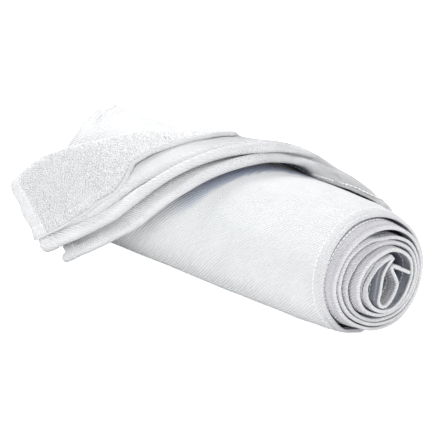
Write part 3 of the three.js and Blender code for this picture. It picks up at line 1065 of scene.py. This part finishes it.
def terry_face_material(colours):
    """Looped face of the towel, under its pile."""
    material, tree, shader = cotton_material(
        "terry_face", colours.pile, roughness=0.95, sheen=0.35
    )
    place = cloth_place(tree)
    loops = tree.nodes.new("ShaderNodeTexVoronoi")
    loops.voronoi_dimensions = "2D"
    loops.inputs["Scale"].default_value = 800.0
    tree.links.new(place, loops.inputs["Vector"])
    cotton = group_node(tree, washed_cotton, place, Lowest=0.9)
    # Painted shade on the looped face of the turns inside the roll
    inner = group_node(tree, inner_shade, place, Face=GAP_PAINTED_SHADE, Deep=DEEP_LOOPED_PAINTED_SHADE)
    # Painted shade on the ground between the loops
    ground = math_node(tree, "MULTIPLY", cotton.outputs["Shade"], GROUND_PAINTED_SHADE)
    # Painted deep shade under the lower fold
    tucked = group_node(tree, tucked_shade, place)
    shades = (ground, inner.outputs["Tint"], tucked.outputs["Tint"])
    shade_colour(tree, shader, colours.pile, *shades)
    height = math_node(tree, "SUBTRACT", 1.0, loops.outputs["Distance"])
    bump_from(tree, shader, height, distance=0.0002)
    return material


def thread_material(name, colour, wave, lowest):
    """Twisted cotton yarn, for stitches and for the pile's loops."""
    material, tree, shader = cotton_material(name, colour, roughness=0.8, sheen=0.3)
    place = tree.nodes.new("ShaderNodeTexCoord").outputs["Object"]
    cotton = group_node(tree, washed_cotton, place, Patch_size=wave, Lowest=lowest)
    shade_colour(tree, shader, colour, cotton.outputs["Shade"])
    bump_from(tree, shader, cotton.outputs["Shade"], distance=0.0004)
    return material


def along_cloth(form, across_value, face):
    """Line on one face of the cloth at a fixed distance from its near long hem, and its normals."""
    found = [form.at(row, across_value, face) for row in range(len(form.grid))]
    return [np.array(part) for part in zip(*found)]


def across_cloth(form, onward_value, face):
    """Line on one face at a fixed distance from the inner short hem, and its normals."""
    column = form.onward[:, 0]
    i = int(np.clip(np.searchsorted(column, onward_value), 1, len(column) - 1))
    f = (onward_value - column[i - 1]) / (column[i] - column[i - 1])
    grid = form.grid[i - 1] * (1 - f) + form.grid[i] * f
    normals = unit(form.normals[i - 1] * (1 - f) + form.normals[i] * f)
    half = (form.half(face)[i - 1] * (1 - f) + form.half(face)[i] * f)[:, None]
    return grid + normals * half * face, normals * face


def tube_faces(stations, sides):
    """Faces along a tube of rings with a number of sides."""
    faces = []
    for first in range(0, (stations - 1) * sides, sides):
        for k in range(sides):
            a, b = first + k, first + (k + 1) % sides
            faces.append((a, b, b + sides, a + sides))
    return faces


def stitch_template(length, width, height):
    """One stitch lying along X: its points and its faces."""
    stations = ((-0.5, 0.3), (-0.3, 1.0), (0.3, 1.0), (0.5, 0.3))
    ring = [math.radians(60 * k) for k in range(6)]
    points = [
        (length * x, width / 2 * size * math.cos(a), height / 2 * size * math.sin(a))
        for x, size in stations
        for a in ring
    ]
    faces = [(5, 4, 3, 2, 1, 0), *tube_faces(len(stations), 6), tuple(range(18, 24))]
    return np.array(points), faces


def placed_copies(template, frames):
    """Copies of a template at frames of origin, onward, sideways and upward directions."""
    points, faces = template
    vertices, all_faces = [], []
    for number, (origin, onward, sideways, upward) in enumerate(frames):
        vertices.append(
            origin + points[:, :1] * onward + points[:, 1:2] * sideways + points[:, 2:] * upward
        )
        first = number * len(points)
        all_faces += [tuple(first + k for k in face) for face in faces]
    return np.concatenate(vertices), all_faces


def stitch_frames(line, normals, pitch):
    """Frames of stitches spaced along a line on the cloth."""
    along = lengths_along(line)
    places = np.arange(pitch, along[-1] - pitch / 2, pitch)
    frames = []
    for place in places:
        origin, ahead, behind = (columns_at(place + step, along, line) for step in (0, 0.5, -0.5))
        upward = unit(columns_at(place, along, normals))
        onward = unit(ahead - behind)
        sideways = unit(np.cross(upward, onward))
        frames.append((origin, onward, sideways, upward))
    return frames


def loop_template(height):
    """One terry loop: a thin bent tube standing on the cloth, its points and its faces."""
    points = []
    for turn in np.linspace(0, math.pi, LOOP_STATIONS):
        middle = np.array((-LOOP_REACH * math.cos(turn), 0, height * math.sin(turn) - LOOP_ROOT))
        inward = np.array((math.cos(turn), 0, -math.sin(turn)))
        for a in (0, 2 * math.pi / 3, 4 * math.pi / 3):
            side = np.array((0, LOOP_RADIUS * math.sin(a), 0))
            points.append(middle - inward * LOOP_RADIUS * math.cos(a) + side)
    return np.array(points), tube_faces(LOOP_STATIONS, 3)


class ClothForm:
    """The towel's cloth as worked out: middle surface, own coordinates, normals and thickness."""

    def __init__(self, sizes):
        grid, across, onward, flap_from = cloth_grid()
        smooth, looped = half_thicknesses(across, onward, sizes)
        normals = normals_of(grid)
        grid = grid + normals * undulation(across, onward)[..., None]
        grid = dented(grid, normals, onward)
        grid = puckered(grid, normals, across, onward)
        grid = smooth_floor(grid, smooth)
        self.grid, self.across, self.onward = grid, across, onward
        self.flap_from = flap_from
        self.normals = normals_of(grid)
        self.smooth, self.looped = smooth, looped

    def half(self, face):
        """How far the smooth face, 1, or the looped face, -1, lies from the middle."""
        return self.smooth if face > 0 else self.looped

    def at(self, row, across_value, face):
        """Point on a face at a row, whole or not, and a place across it, and the face's normal."""
        i = int(min(row, len(self.grid) - 1.001))
        f = row - i
        found = []
        for data in (self.grid, self.normals, self.half(face)[..., None]):
            a, b = (columns_at(across_value, self.across[r], data[r]) for r in (i, i + 1))
            found.append(a + (b - a) * f)
        point, normal, half = found
        outward = unit(normal) * face
        return point + outward * half, outward


@functools.cache
def cloth_form():
    """The cloth's form, worked out once for all its pieces."""
    return ClothForm(bpy.context.scene.towel_sizes)


class TOWEL_OT_cloth(bpy.types.Operator):
    """Make the towel's cloth, wound from its core to the folded loose end"""

    bl_idname = "towel.make_cloth"
    bl_label = "Cloth"

    def execute(self, context):
        form = cloth_form()
        rows, columns = form.across.shape
        outer = to_frame(form.grid + form.normals * form.smooth[..., None])
        inner = to_frame(form.grid - form.normals * form.looped[..., None])
        faces, kinds = grid_faces(rows, columns)
        reached = form.onward.ravel()[faces.min(axis=1) % form.onward.size]
        kinds[reached > TOWEL_LENGTH - END_HEM] = 0
        colours = context.scene.towel_colours
        ribbed = ribbed_face_material(colours, context.scene.towel_sizes)
        materials = [ribbed, terry_face_material(colours)]
        vertices = np.concatenate((outer.reshape(-1, 3), inner.reshape(-1, 3)))
        cloth = new_mesh_object("towel_cloth", vertices, faces, kinds, materials)
        place = np.stack((form.across, form.onward), axis=-1).reshape(-1, 2) * MM
        place = np.concatenate((place, place))
        corners = np.zeros(len(cloth.data.loops), np.int32)
        cloth.data.loops.foreach_get("vertex_index", corners)
        # Share of the painted shadow in front of the lower fold, kept in its own map
        shade = fold_line_shade(form.grid, form.onward).ravel()
        shade = np.stack((shade, shade * 0), axis=-1)
        shade = np.concatenate((shade, shade))
        for name, values in ((CLOTH_MAP, place), (FOLD_LINE_MAP, shade)):
            layer = cloth.data.uv_layers.new(name=name)
            layer.uv.foreach_set("vector", values[corners].astype(np.float32).ravel())
        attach(cloth, "root")
        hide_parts("towel")
        return {"FINISHED"}


class TOWEL_OT_stitches(bpy.types.Operator):
    """Sew the hems with rows of small stitches on both faces"""

    bl_idname = "towel.make_stitches"
    bl_label = "Hem stitches"

    def execute(self, context):
        form = cloth_form()
        sizes = context.scene.towel_sizes
        inset = sizes.hem_width / MM - SEAM_INSET
        frames = []
        for face in (1, -1):
            lines = [along_cloth(form, place, face) for place in (inset, TOWEL_WIDTH - inset)]
            end_inset = END_HEM - SEAM_INSET
            ends = (end_inset, TOWEL_LENGTH - end_inset)
            lines += [across_cloth(form, place, face) for place in ends]
            for line, normals in lines:
                frames += stitch_frames(line, normals, sizes.stitch_pitch / MM)
        template = stitch_template(sizes.stitch_length / MM, *STITCH_SECTION)
        vertices, faces = placed_copies(template, frames)
        material = thread_material("hem_thread", context.scene.towel_colours.thread, 0.0008, 0.9)
        vertices = to_frame(vertices)
        stitches = new_mesh_object("towel_hem_stitches", vertices, faces, None, [material])
        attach(stitches, "root")
        return {"FINISHED"}


class TOWEL_OT_pile(bpy.types.Operator):
    """Raise the terry loops on the flap that shows its looped face"""

    bl_idname = "towel.make_pile"
    bl_label = "Terry loops"

    def execute(self, context):
        form = cloth_form()
        sizes = context.scene.towel_sizes
        spacing = sizes.loop_spacing / MM
        chance = np.random.default_rng(11)
        frames = []
        first = int(np.argmax(form.flap_from < TOWEL_WIDTH - 6))
        rows = np.arange(first, len(form.grid) - 1)
        onward = form.onward[rows, 0]
        places = np.arange(onward[0], TOWEL_LENGTH - END_HEM, spacing)
        for number, place in enumerate(places):
            row = np.interp(place, onward, rows)
            low = np.interp(row, np.arange(len(form.flap_from)), form.flap_from) + 0.5
            shift = spacing / 2 * (number % 2)
            for across in np.arange(low + shift, TOWEL_WIDTH - BEAD_WIDTH - 1.0, spacing):
                jitter = chance.uniform(-LOOP_JITTER, LOOP_JITTER, 2)
                origin, upward = form.at(row + jitter[0] * 0.5, across + jitter[1], -1)
                turn = chance.uniform(0, math.pi)
                lean = chance.normal(0, LOOP_LEAN, 3)
                sideways = unit(np.cross(upward, (math.cos(turn), math.sin(turn), 0.3)))
                onto = unit(np.cross(sideways, upward))
                upright = unit(upward + lean) * chance.uniform(*LOOP_SIZES)
                frames.append((origin, onto, sideways, upright))
        vertices, faces = placed_copies(loop_template(sizes.loop_height / MM), frames)
        material = thread_material("terry_yarn", context.scene.towel_colours.pile, 0.0022, 0.9)
        pile = new_mesh_object("towel_terry_loops", to_frame(vertices), faces, None, [material])
        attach(pile, "root")
        return {"FINISHED"}


class TOWEL_OT_declare(bpy.types.Operator):
    bl_idname = "towel.declare_sheet"
    bl_label = "Declare sheet"

    def execute(self, context):
        return {"FINISHED"}


def aimed(name, data, place, direction):
    """Object at a place that faces along a direction."""
    made = bpy.data.objects.new(name, data)
    bpy.context.scene.collection.objects.link(made)
    made.location = place
    made.rotation_euler = direction.to_track_quat("-Z", "Y").to_euler()
    return made


def add_area_light(name, place, target, size, power, colour):
    """Square soft light that faces a target."""
    light = bpy.data.lights.new(name, "AREA")
    light.shape = "SQUARE"
    light.size = size
    light.energy = power
    light.color = colour
    aimed(name, light, place, Vector(target) - Vector(place))


class TOWEL_OT_stage(bpy.types.Operator):
    """Set the pale floor, the soft light and the camera"""

    bl_idname = "towel.make_stage"
    bl_label = "Stage, light and camera"

    def execute(self, context):
        scene = context.scene
        half = FLOOR_SIZE / 2
        corners = np.array([(-half, -half, 0), (half, -half, 0), (half, half, 0), (-half, half, 0)])
        colour = scene.towel_colours.floor
        material, tree, shader = plain_material("pale_floor", colour, roughness=0.9)
        shader.inputs["Emission Color"].default_value = WHITE
        seen = tree.nodes.new("ShaderNodeLightPath").outputs["Is Camera Ray"]
        glow = math_node(tree, "MULTIPLY", seen, FLOOR_GLOW)
        tree.links.new(glow, shader.inputs["Emission Strength"])
        floor = new_mesh_object("floor", corners, [(0, 1, 2, 3)], None, [material], smooth=False)

        world = bpy.data.worlds.new("soft_studio")
        world.use_nodes = True
        background = next(node for node in world.node_tree.nodes if node.type == "BACKGROUND")
        background.inputs["Color"].default_value = (*WORLD_COLOUR, 1.0)
        background.inputs["Strength"].default_value = WORLD_STRENGTH
        scene.world = world
        middle = ((CAD_BOX[0] + CAD_BOX[1]) / 2)[:]
        for name, place, size, power, colour in LIGHTS:
            add_area_light(name, place, middle, size, power, colour)

        azimuth, elevation = (math.radians(angle) for angle in CAMERA_ANGLES)
        back = Vector(
            (
                math.sin(azimuth) * math.cos(elevation),
                -math.cos(azimuth) * math.cos(elevation),
                math.sin(elevation),
            )
        )
        lens = bpy.data.cameras.new("photo_camera")
        lens.sensor_width = SENSOR
        lens.lens = CAMERA_LENS
        lens.clip_end = 20.0
        place = Vector(CAMERA_TARGET) + back * CAMERA_DISTANCE
        scene.camera = aimed("photo_camera", lens, place, -back)
        scene.view_settings.view_transform = "Standard"
        return {"FINISHED"}


class TOWEL_PT_panel(bpy.types.Panel):
    """Sizes, colours and makers of the rolled towel"""

    bl_label = "Rolled towel"
    bl_idname = "TOWEL_PT_panel"
    bl_space_type = "VIEW_3D"
    bl_region_type = "UI"
    bl_category = "Towel"

    def draw(self, context):
        layout = self.layout
        for settings in (context.scene.towel_sizes, context.scene.towel_colours):
            box = layout.box()
            for name in settings.__annotations__:
                box.prop(settings, name)
        for operator in OPERATORS:
            layout.operator(operator.bl_idname)


OPERATORS = (
    TOWEL_OT_cloth,
    TOWEL_OT_stitches,
    TOWEL_OT_pile,
    TOWEL_OT_declare,
    TOWEL_OT_stage,
)
CLASSES = (TowelSizes, TowelColours, *OPERATORS, TOWEL_PT_panel)


def register():
    """Adds the classes and the scene's settings."""
    for cls in CLASSES:
        bpy.utils.register_class(cls)
    bpy.types.Scene.towel_sizes = bpy.props.PointerProperty(type=TowelSizes)
    bpy.types.Scene.towel_colours = bpy.props.PointerProperty(type=TowelColours)


def unregister():
    """Takes the scene's settings and the classes away."""
    del bpy.types.Scene.towel_colours
    del bpy.types.Scene.towel_sizes
    for cls in reversed(CLASSES):
        bpy.utils.unregister_class(cls)


def main():
    """Makes every piece and the stage."""
    register()
    bpy.ops.towel.make_stage()
    bpy.ops.towel.make_cloth()
    bpy.ops.towel.make_stitches()
    bpy.ops.towel.make_pile()
    bpy.ops.towel.declare_sheet()


if __name__ == "__main__":
    main()
